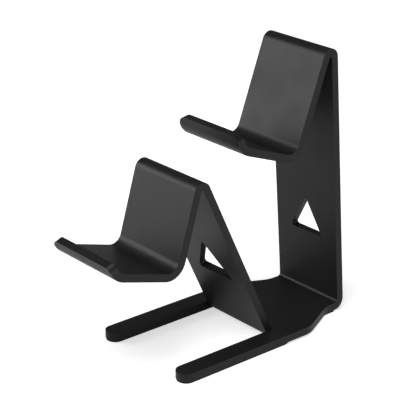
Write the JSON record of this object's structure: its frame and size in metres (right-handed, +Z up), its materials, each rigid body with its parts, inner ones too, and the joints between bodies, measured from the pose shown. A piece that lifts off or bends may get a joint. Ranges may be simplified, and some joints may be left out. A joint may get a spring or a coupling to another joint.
{
  "type": "game controller stand",
  "caption": "Free-standing black stand folded from one thick plate: two cradles with turned-up lips hold game controllers above a pronged base.",
  "frame": {"origin": "on the floor, under the middle of the stand's length and width", "axes": "+Z up, front with the lips towards -Y, X across the stand"},
  "size_m": [0.0812, 0.1861, 0.1774],
  "materials": {
    "plate": "satin black with a very fine grain",
    "pad": "matt black"
  },
  "bodies": {
    "root": {"folded_plate": "plate", "right_prong_pad": "pad", "left_prong_pad": "pad", "rear_pad": "pad"}
  },
  "joints": []
}
